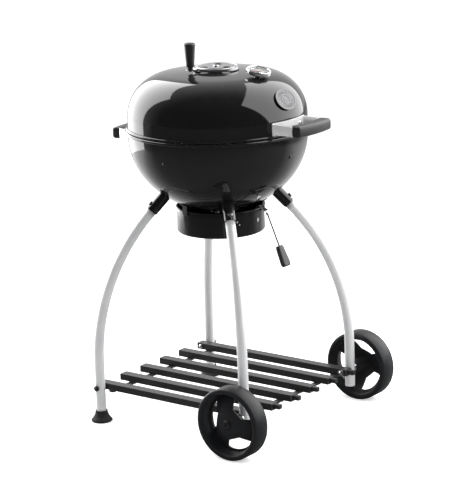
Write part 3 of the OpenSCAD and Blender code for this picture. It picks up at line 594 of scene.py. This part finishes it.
def cut(mesh, tool):
    """Subtracts a closed bmesh from a mesh with a Boolean modifier and keeps the result."""
    blade_mesh = bpy.data.meshes.new("blade")
    tool.to_mesh(blade_mesh)
    tool.free()
    blade = bpy.data.objects.new("blade", blade_mesh)
    work = bpy.data.objects.new("work", mesh)
    for o in (blade, work):
        bpy.context.scene.collection.objects.link(o)
    change = work.modifiers.new("cut", "BOOLEAN")
    change.object, change.operation, change.solver = blade, "DIFFERENCE", "EXACT"
    bpy.context.view_layer.update()
    seen_work = work.evaluated_get(bpy.context.evaluated_depsgraph_get())
    result_mesh = bpy.data.meshes.new_from_object(seen_work)
    bpy.data.objects.remove(blade)
    bpy.data.objects.remove(work)
    return result_mesh


def strap_screw_holes(part, wall_y):
    """The two holes that a strap's screws go through, as pegs to drill with."""
    box_low, box_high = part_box(part)
    height = (box_low.z + box_high.z) / 2
    lying = Matrix.Rotation(math.pi / 2, 4, "X")
    return [(Matrix.Translation((side * screw_x * MM, wall_y, height)) @ lying, screw_hole_r * MM, 60 * MM)
            for side in (-1, 1)]


kettle_axis = Matrix.Translation((0, axis_y, 0))
round_steps = 192  # faces round the big shells
screw_x, screw_hole_r = 46, 3.1

# %% [markdown]
# The lid is a deep dome: a short straight side, a round shoulder and a shallow top, ending in a
# rolled bead. Its outline goes down the inside, round the bead and up the outside, so the wall is
# closed. The holes under the vent, for the thermometer and for the screws are drilled last.
# %% Lid
sheet = 1.6  # wall, in millimetres
lid_bead = 4.2
lid_r = (lid_high.x - lid_low.x) / 2 / MM - lid_bead - sheet
bead_z = lid_low.z / MM + lid_bead
side_tall, shoulder, dome_r = 35, 128, 1360
side_z = bead_z - lid_bead + side_tall
shoulder_at = lid_r - shoulder
dome_mid = lid_high.z / MM - dome_r
turn_over = math.degrees(math.atan2(side_z - dome_mid, shoulder_at))
outline = arc(0, dome_mid, dome_r - sheet, 90, turn_over + 0.6, 12)
outline += arc(shoulder_at, side_z, shoulder - sheet, turn_over, 0, 28)
outline += arc(lid_r + sheet, bead_z, lid_bead, 140, 472, 26)
outline += arc(shoulder_at, side_z, shoulder, 0, turn_over, 28)
outline += arc(0, dome_mid, dome_r, turn_over + 0.6, 90, 12)
bm = turned(outline, steps=round_steps)
mesh = finish_mesh(bm, "lid_shell", kettle_axis)
vent_out, vent_hole_r, stem_hole_r = 38, 15, 5.2
lid_top = Vector((0, axis_y, lid_high.z))
holes = []
for i in range(3):
    turn = Matrix.Rotation(math.radians(30 + 120 * i), 3, "Z")
    at = lid_top + turn @ Vector((vent_out * MM, 0, 0))
    holes.append((Matrix.Translation(at), vent_hole_r * MM, 30 * MM))
holes.append((Matrix.Translation(lid_top), screw_hole_r * MM, 30 * MM))
stem_low, stem_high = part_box("thermo_stem")
stem_lean = Matrix.Rotation(math.radians(12), 4, "X")
holes.append((Matrix.Translation((stem_low + stem_high) / 2) @ stem_lean, stem_hole_r * MM, 90 * MM))
holes += strap_screw_holes("lid_strap_screws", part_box("lid_strap_screws")[1].y)
mesh = drilled(mesh, holes)
shade(mesh, 40)
piece("lid_shell", mesh, enamel, ["lid"])
print("lid radius", round(lid_r, 2), "mm, shoulder ends at", round(turn_over, 1), "degrees")

# %% [markdown]
# The bowl is made the same way, with its bead at the top, and three curved air slots in its bottom.
# The slots' cutters are slices of a ring: a rectangle swept through 24 degrees, three times.
# %% Bowl
bowl_bead = 4.6
bowl_r = (bowl_high.x - bowl_low.x) / 2 / MM - 2 * bowl_bead + 1
bead_z = bowl_high.z / MM - bowl_bead
bowl_side = lid_low.z / MM - 14
inset = 48.5  # from the kettle's axis to the middle of the shoulder's arc
bowl_shoulder, base_r = bowl_r - inset, bowl_r + 21.5
base_mid = bowl_low.z / MM + base_r
turn_under = math.degrees(math.atan2(base_mid - bowl_side, inset))
outline = arc(0, base_mid, base_r - sheet, -90, -turn_under - 3, 20)
outline += arc(inset, bowl_side, bowl_shoulder - sheet, -turn_under, 0, 24)
outline += [(bowl_r - sheet, bead_z)]
outline += arc(bowl_r + bowl_bead - 1, bead_z, bowl_bead, 140, -140, 26)
outline += arc(inset, bowl_side, bowl_shoulder, 0, -turn_under, 24)
outline += arc(0, base_mid, base_r, -turn_under - 3, -90, 20)
bm = turned(outline, steps=round_steps)
mesh = finish_mesh(bm, "bowl_shell", kettle_axis)
slot_in, slot_out, slot_turn = 48, 100, 24  # the slots' inner and outer radius and their angle
slots = bmesh.new()
for i in range(3):
    start = math.radians(120 * i + 60 - slot_turn / 2 - 90)
    corners = [slots.verts.new((r * MM, 0, (bowl_low.z / MM + h) * MM))
               for r, h in ((slot_in, -10), (slot_out, -10), (slot_out, 50), (slot_in, 50))]
    slot_end = slots.faces.new(corners)
    bmesh.ops.rotate(slots, verts=corners, cent=(0, 0, 0), matrix=Matrix.Rotation(start, 3, "Z"))
    bmesh.ops.spin(slots, geom=[slot_end, *slot_end.edges, *corners], cent=(0, 0, 0),
                   axis=(0, 0, 1), angle=math.radians(slot_turn), steps=12)
bmesh.ops.recalc_face_normals(slots, faces=slots.faces)
bmesh.ops.transform(slots, matrix=kettle_axis, verts=slots.verts)
mesh = cut(mesh, slots)
shaft_hole_r = 5.08
holes = strap_screw_holes("rear_strap_screws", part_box("rear_strap_screws")[0].y)
holes.append((Matrix.Translation((0, axis_y, bowl_low.z)), shaft_hole_r * MM, 30 * MM))
mesh = drilled(mesh, holes)
shade(mesh, 40)
piece("bowl_shell", mesh, enamel, ["bowl"])
print("bowl radius", round(bowl_r, 2), "mm, depth", round((bowl_high.z - bowl_low.z) / MM), "mm")

# %% [markdown]
# The ash pot is a plain drawn pan with a rolled rim.
# %% Ash pot
pot_low, pot_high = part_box("ash_pot")
pot_r = (pot_high.x - pot_low.x) / 2 / MM - 1.8
pot_top, pot_base = pot_high.z / MM - 2, pot_low.z / MM
outline = [(0, pot_base + 1.5)] + arc(pot_r - 9, pot_base + 9, 7.5, -90, 0, 8)
outline += [(pot_r - 1.5, pot_top - 1)] + arc(pot_r - 0.2, pot_top, 2, 150, -140, 12)
outline += arc(pot_r - 9, pot_base + 9, 9, 0, -90, 8) + [(0, pot_base)]
bm = turned(outline, steps=144)
piece("ash_pan", finish_mesh(bm, "ash_pan", kettle_axis), pot_enamel, ["ash_pot"])
print("ash pot radius", round(pot_r, 2), "mm")

# %% [markdown]
# The two grips are moulded bars that bow away from the kettle, so a rounded section is swept round an
# upright axis far behind the grip. The length and the bow of the bar give that axis: a chord of 160
# with a rise of 8. The ends are rounded afterwards, like the corners of the section.
# %% Lid grip and rear grip
def bowed_grip(part, side, bow=8, round_by=9, steps=28):
    """side is -1 for a grip in front of the kettle and 1 for one behind it."""
    box_low, box_high = (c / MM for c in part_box(part))
    half, deep = (box_high.x - box_low.x) / 2, box_high.y - box_low.y - bow
    tall = (box_high.z - box_low.z) / 2
    swing = (half ** 2 + bow ** 2) / (2 * bow)
    reach = math.asin(half / swing)
    c = round_by
    outer, inner = swing - c, swing - deep + c
    section = (arc(outer, tall - c, c, 0, 90, 5) + arc(inner, tall - c, c, 90, 180, 5)
               + arc(inner, c - tall, c, 180, 270, 5) + arc(outer, c - tall, c, 270, 360, 5))
    bm = bmesh.new()
    dots = [bm.verts.new((r * MM, 0, z * MM)) for r, z in section]
    end = bm.faces.new(dots)
    bmesh.ops.rotate(bm, verts=dots, cent=(0, 0, 0), matrix=Matrix.Rotation(-reach, 3, "Z"))
    bmesh.ops.spin(bm, geom=[end, *end.edges, *dots], cent=(0, 0, 0), axis=(0, 0, 1),
                   angle=2 * reach, steps=steps)
    bmesh.ops.remove_doubles(bm, verts=bm.verts, dist=0.001 * MM)
    bmesh.ops.recalc_face_normals(bm, faces=bm.faces)
    soften(bm, 7, corner=50, segments=5)
    out_at = box_high.y if side > 0 else box_low.y
    turn_out = Matrix.Rotation(side * math.pi / 2, 4, "Z")
    where = Matrix.Translation((0, (out_at - side * swing) * MM, (box_low.z + tall) * MM)) @ turn_out
    return piece(part + "_rounded", finish_mesh(bm, part + "_rounded", where, 50), grip_plastic, [part])


for part, side in (("lid_grip", -1), ("rear_grip", 1)):
    made = bowed_grip(part, side)
    print(part, [round(c / MM) for c in made.dimensions], "mm")

# %% [markdown]
# The vent's grip is a turned black handle, narrow at the collar and wider towards its flat top, so
# that it can be turned with a gloved hand.
# %% Vent grip
grip_low, grip_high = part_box("vent_grip")
grip_mid = (grip_low + grip_high) / 2
outline = [(0, 0), (5, 0), (5, 2.7), (2.6, 2.7), (2.6, 6.2), (8, 6.2), (8, 13), (11.5, 13.6), (13.4, 36),
           (16, 75), (17, 76), (17, 79.5)] + arc(12, 78.7, 5, 10, 90, 6) + [(0, 83.7)]
bm = turned(outline, steps=64)
soften(bm, 0.8, corner=40, segments=2)
where = Matrix.Translation((grip_mid.x, grip_mid.y, grip_low.z))
piece("vent_knob", finish_mesh(bm, "vent_knob", where), grip_plastic, ["vent_grip"])
print("vent grip", round((grip_high.z - grip_low.z) / MM), "mm tall")

# %% [markdown]
# The air lever hangs on a thin rod and ends in a flat, slightly flared paddle with a raised pad on
# each side. It is an outline, extruded, inset on both faces and rounded.
# %% Lever grip
rod_low, rod_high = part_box("lever_rod")
paddle_low, paddle_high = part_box("lever_grip")
hang = ((paddle_low + paddle_high) / 2 - (rod_low + rod_high) / 2).normalized()
across = Vector((1, 0, 0))
hang = (hang - across * hang.dot(across)).normalized()
facing_out = across.cross(hang)
bm = bmesh.new()
rim = [(-9, 0), (9, 0), (12, 8), (16, 52), (15.5, 60), (11, 65), (-11, 65), (-15.5, 60), (-16, 52),
       (-12, 8)]
face = bm.faces.new([bm.verts.new((x * MM, -7 * MM, (z - 32.5) * MM)) for x, z in rim])
raised = bmesh.ops.extrude_face_region(bm, geom=[face])
bmesh.ops.translate(bm, vec=(0, 14 * MM, 0), verts=[v for v in raised["geom"]
                                                    if isinstance(v, bmesh.types.BMVert)])
bmesh.ops.recalc_face_normals(bm, faces=bm.faces)
broad = [f for f in bm.faces if len(f.verts) == len(rim)]
bmesh.ops.inset_individual(bm, faces=broad, thickness=4.5 * MM, depth=1.0 * MM)
soften(bm, 1.6, corner=12, segments=3)
where = Matrix((across, -facing_out, hang)).transposed().to_4x4()
where.translation = (paddle_low + paddle_high) / 2
piece("lever_paddle", finish_mesh(bm, "lever_paddle", where), grip_plastic, ["lever_grip"])
print("lever hangs", round(math.degrees(math.acos(-hang.z)), 1), "degrees out")

# %% [markdown]
# The thermometer has a thick rounded bezel. Its frame comes from the needle's own joint, so bezel,
# dial and needle share one axis. The dial's ticks are thin printed bars, with a longer one every
# fourth step.
# %% Thermometer bezel and dial marks
needle_joint = next(j for j in frame["record"]["behaviour"]["joints"]
                    if j["name"] == "thermometer_needle")
needle_way = Vector(needle_joint["axis"])
dial_lean = math.atan2(-needle_way.y, needle_way.z)
needle_up = 13  # the needle's joint above the back of the case, in millimetres
dial_at = (Matrix.Translation(Vector(needle_joint["pos_m"])) @ Matrix.Rotation(dial_lean, 4, "X")
           @ Matrix.Translation((0, 0, -needle_up * MM)))
outline = [(4.1, 0.9), (11, 0.9), (11, 5.5), (26, 5.5), (35, 8.2)] + arc(34.6, 10.6, 2.4, -60, 0, 4)
outline += arc(34.6, 17.6, 2.4, 0, 180, 10) + [(33, 16), (33, 11), (4.1, 11)]
bm = turned(outline, steps=96, closed=True)
piece("thermo_bezel", finish_mesh(bm, "thermo_bezel", dial_at), chrome, ["thermo_case"])
tick_r, dial_top = 26.5, 12.2
marks = bmesh.new()
for i in range(25):
    long = i % 4 == 0
    around = Matrix.Rotation(math.radians(-225 + 270 * i / 24), 4, "Z")
    size = Matrix.Diagonal(((6 if long else 3.2) * MM, (1.3 if long else 0.7) * MM, 0.2 * MM, 1))
    out_to = Matrix.Translation((tick_r * MM, 0, dial_top * MM))
    bmesh.ops.create_cube(marks, size=1, matrix=around @ out_to @ size)
piece("dial_marks", finish_mesh(marks, "dial_marks", dial_at), print_black, [], BODY_OF["thermo_dial"])
print("dial leans", round(math.degrees(dial_lean), 1), "degrees")

# %% [markdown]
# The badge is a pressed metal oval on the front of the lid. It carries no name, only plain relief: a
# raised rim, a ring of short rays and two rings round the middle. It is turned round first and then
# squeezed to its height.
# %% Badge
badge_at = Matrix.Translation(badge_mid) @ Matrix.Rotation(badge_lean, 4, "X")
badge_r = (badge_high.x - badge_low.x) / 2 / MM
ray_r, badge_squeeze = 28.5, 0.78
outline = [(0, 0.7), (9, 0.7), (9.6, 0.1), (15, 0.1), (15.6, 0.9), (19, 0.9), (19.6, 0.1),
           (badge_r - 5, 0.1), (badge_r - 4.2, 1.0)]
outline += arc(badge_r - 1, 0, 1, 90, -90, 6) + [(0, -1)]
bm = turned(outline, steps=96)
for i in range(30):
    around = Matrix.Rotation(math.tau * i / 30, 4, "Z")
    size = Matrix.Diagonal((11 * MM, 1.6 * MM, 1.0 * MM, 1))
    bmesh.ops.create_cube(bm, size=1, matrix=around @ Matrix.Translation((ray_r * MM, 0, 0.3 * MM)) @ size)
bmesh.ops.scale(bm, vec=(1, badge_squeeze, 1), verts=bm.verts)
piece("badge_relief", finish_mesh(bm, "badge_relief", badge_at), badge_steel, ["badge"])
print("badge", round(badge_r * 2), "mm across, leans", round(math.degrees(badge_lean)), "degrees")

# %% [markdown]
# The bolts that clamp the legs in their sockets have domed heads. A copy of the plain bolts gets its
# ends rounded, which is all a turned head needs.
# %% Domed bolts
bm = bmesh.new()
bm.from_mesh(frame["nodes"]["socket_bolts"].data)
bmesh.ops.remove_doubles(bm, verts=bm.verts, dist=0.004 * MM)
bmesh.ops.dissolve_limit(bm, angle_limit=math.radians(1), verts=bm.verts, edges=bm.edges)
soften(bm, 2.2, corner=50, segments=4)
piece("socket_bolts_domed", finish_mesh(bm, "socket_bolts_domed", None, 50), zinc, ["socket_bolts"])
print("socket bolts rounded")

# %% [markdown]
# The ash pot carries a few small pale printed marks beside the lever. They are plain dots and one oval,
# with no lettering.
# %% Marks on the ash pot
marks = bmesh.new()
for azimuth, height, wide, tall in ((3.4, 615, 4.2, 6.0), (-28, 612, 2.0, 2.0), (-31, 621, 2.6, 2.6),
                                    (-36, 612, 1.6, 1.6)):
    around = Matrix.Rotation(math.radians(azimuth), 4, "Z")
    at = Matrix.Translation((0, -(pot_r + 0.06) * MM, height * MM)) @ Matrix.Rotation(math.pi / 2, 4, "X")
    size = Matrix.Diagonal((wide * MM, tall * MM, 0.12 * MM, 1))
    bmesh.ops.create_cone(marks, cap_ends=True, segments=24, radius1=1, radius2=1, depth=1,
                          matrix=kettle_axis @ around @ at @ size)
piece("pot_marks", finish_mesh(marks, "pot_marks"), print_pale, [], "ash_pot")
print("marks on the pot at radius", round(pot_r, 1), "mm")

# %% [markdown]
# The floor is a plain pale sheet, a little grainy like seamless paper. To the camera it glows faintly,
# as paper lit from below does, so it meets the white backdrop without a line. In the enamel its colour
# is painted dark in front and pale behind, a painted shade that stands in for the studio's light.
# %% Floor
bm = bmesh.new()
bmesh.ops.create_grid(bm, x_segments=2, y_segments=2, size=14)
floor_mesh = bpy.data.meshes.new("floor")
bm.to_mesh(floor_mesh)
bm.free()
floor = bpy.data.objects.new("floor", floor_mesh)
bpy.context.scene.collection.objects.link(floor)
f = Finish("seamless paper", (0.86, 0.86, 0.86), 0.9)
fibre = f.group(grain, Scale=500.0)
f.bump(fibre.outputs["Value"], 0.05, 0.0002)
# Painted shade: for glossy rays the floor's colour runs from dark in front to pale behind.
ray, at = f.node("ShaderNodeLightPath"), f.node("ShaderNodeTexCoord")
along = f.node("ShaderNodeVectorMath", operation="DOT_PRODUCT")
along.inputs[1].default_value = behind
f.join(at.outputs["Object"], along.inputs[0])
glossy_floor_shade = f.range(along.outputs["Value"], 0.10, 0.50)
floor_painted_shade = f.node("ShaderNodeMix", data_type="RGBA")
floor_painted_shade.inputs[6].default_value = (0.86, 0.86, 0.86, 1)
f.join(ray.outputs["Is Glossy Ray"], floor_painted_shade.inputs[0])
f.join(glossy_floor_shade, floor_painted_shade.inputs[7])
f.join(floor_painted_shade.outputs[2], f.shader.inputs["Base Color"])
f.set("Emission Color", (1, 1, 1, 1))
f.join(f.range(ray.outputs["Is Camera Ray"], 0.0, 0.42), f.shader.inputs["Emission Strength"])
floor_mesh.materials.append(f.material)
